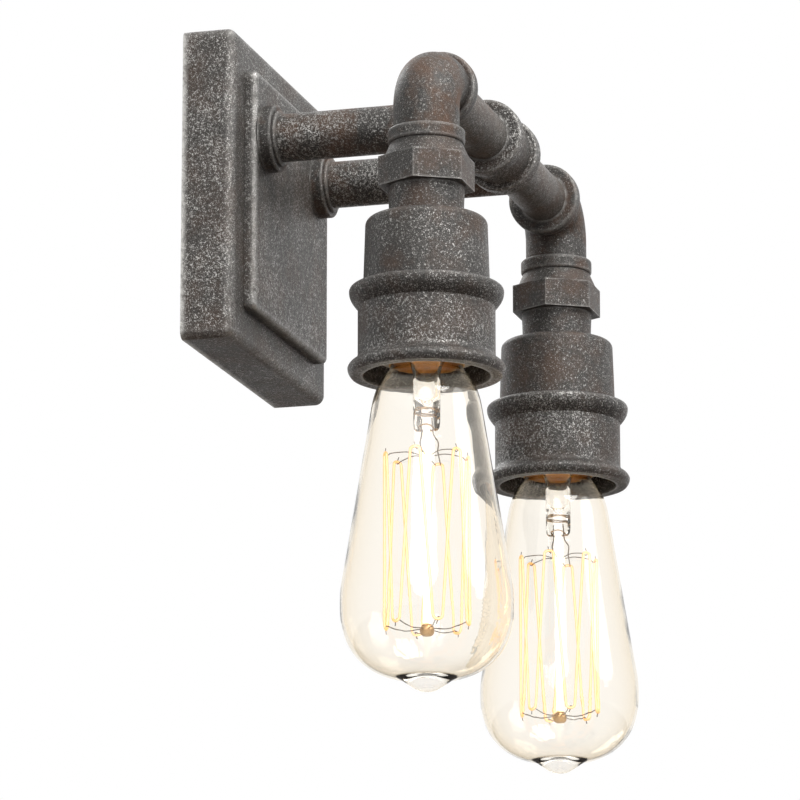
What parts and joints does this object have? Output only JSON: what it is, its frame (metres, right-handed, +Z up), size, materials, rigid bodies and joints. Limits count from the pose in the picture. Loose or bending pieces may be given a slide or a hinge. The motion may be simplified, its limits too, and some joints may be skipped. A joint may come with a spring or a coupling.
{
  "type": "wall light",
  "caption": "Industrial pipe wall light: square back plate, pipe arms and crossbar, banded elbows, and cup sockets with clear tapered filament bulbs.",
  "frame": {"origin": "on the wall, at the centre of the back plate and of the mounting strap's slots", "axes": "+Z up, +Y into the wall, so the lamps stand out towards -Y; +X to the right seen from the room"},
  "size_m": [0.241, 0.13, 0.2544],
  "materials": {
    "weathered_iron": "dark cast iron, gritty, with rubbed edges and rust patches",
    "zinc_steel": "zinc plated steel, dull",
    "green_paint": "green ground screw",
    "porcelain": "glazed porcelain",
    "brass": "sheet brass, satin",
    "black_glass": "black vitrite glass",
    "solder": "solder",
    "clear_glass": "thin clear glass with a warm tint",
    "stem_glass": "clear glass tube and rod",
    "support_wire": "fine drawn wire",
    "filament": "glowing carbon filament",
    "black_insulation": "black wire insulation",
    "white_insulation": "white wire insulation"
  },
  "bodies": {
    "root": {"backplate": "weathered_iron", "mounting_strap": "zinc_steel", "canopy_screws": "weathered_iron", "ground_screw": "green_paint", "centre_coupling": "weathered_iron", "arm_pipe_left": "weathered_iron", "arm_flange_left": "weathered_iron", "crossbar_pipe_left": "weathered_iron", "elbow_left": "weathered_iron", "nipple_left": "weathered_iron", "hexagon_coupling_left": "weathered_iron", "socket_cup_left": "weathered_iron", "collar_left": "weathered_iron", "arm_washer_left": "zinc_steel", "arm_locknut_left": "zinc_steel", "lampholder_screws_left": "zinc_steel", "lampholder_left": "porcelain", "screw_shell_left": "brass", "centre_contact_left": "brass", "lead_live_left": "black_insulation", "lead_neutral_left": "white_insulation", "arm_pipe_right": "weathered_iron", "arm_flange_right": "weathered_iron", "crossbar_pipe_right": "weathered_iron", "elbow_right": "weathered_iron", "nipple_right": "weathered_iron", "hexagon_coupling_right": "weathered_iron", "socket_cup_right": "weathered_iron", "collar_right": "weathered_iron", "arm_washer_right": "zinc_steel", "arm_locknut_right": "zinc_steel", "lampholder_screws_right": "zinc_steel", "lampholder_right": "porcelain", "screw_shell_right": "brass", "centre_contact_right": "brass", "lead_live_right": "black_insulation", "lead_neutral_right": "white_insulation"},
    "bulb_left_lift": {"bulb_contact_left": "solder"},
    "bulb_left": {"bulb_cap_left": "brass", "bulb_insulator_left": "black_glass", "bulb_glass_left": "clear_glass", "bulb_stem_left": "stem_glass", "bulb_supports_left": "support_wire", "bulb_filament_left": "filament"},
    "bulb_right_lift": {"bulb_contact_right": "solder"},
    "bulb_right": {"bulb_cap_right": "brass", "bulb_insulator_right": "black_glass", "bulb_glass_right": "clear_glass", "bulb_stem_right": "stem_glass", "bulb_supports_right": "support_wire", "bulb_filament_right": "filament"}
  },
  "joints": [
    {"name": "bulb_left_travel", "type": "slide", "parent": "root", "child": "bulb_left_lift", "axis": [0, 0, -1], "range_m": [0, 0.01632]},
    {"name": "bulb_left_turn", "type": "hinge", "parent": "bulb_left_lift", "child": "bulb_left", "pos_m": [-0.091, -0.1005, -0.0565], "axis": [0, 0, -1], "range_deg": [0, 1620]},
    {"name": "bulb_right_travel", "type": "slide", "parent": "root", "child": "bulb_right_lift", "axis": [0, 0, -1], "range_m": [0, 0.01632]},
    {"name": "bulb_right_turn", "type": "hinge", "parent": "bulb_right_lift", "child": "bulb_right", "pos_m": [0.091, -0.1005, -0.0565], "axis": [0, 0, -1], "range_deg": [0, 1620]}
  ],
  "couplings": [
    {"joint": "bulb_left_turn", "follows": "bulb_left_travel", "rad_per_m": 1731.6},
    {"joint": "bulb_right_turn", "follows": "bulb_right_travel", "rad_per_m": 1731.6}
  ]
}
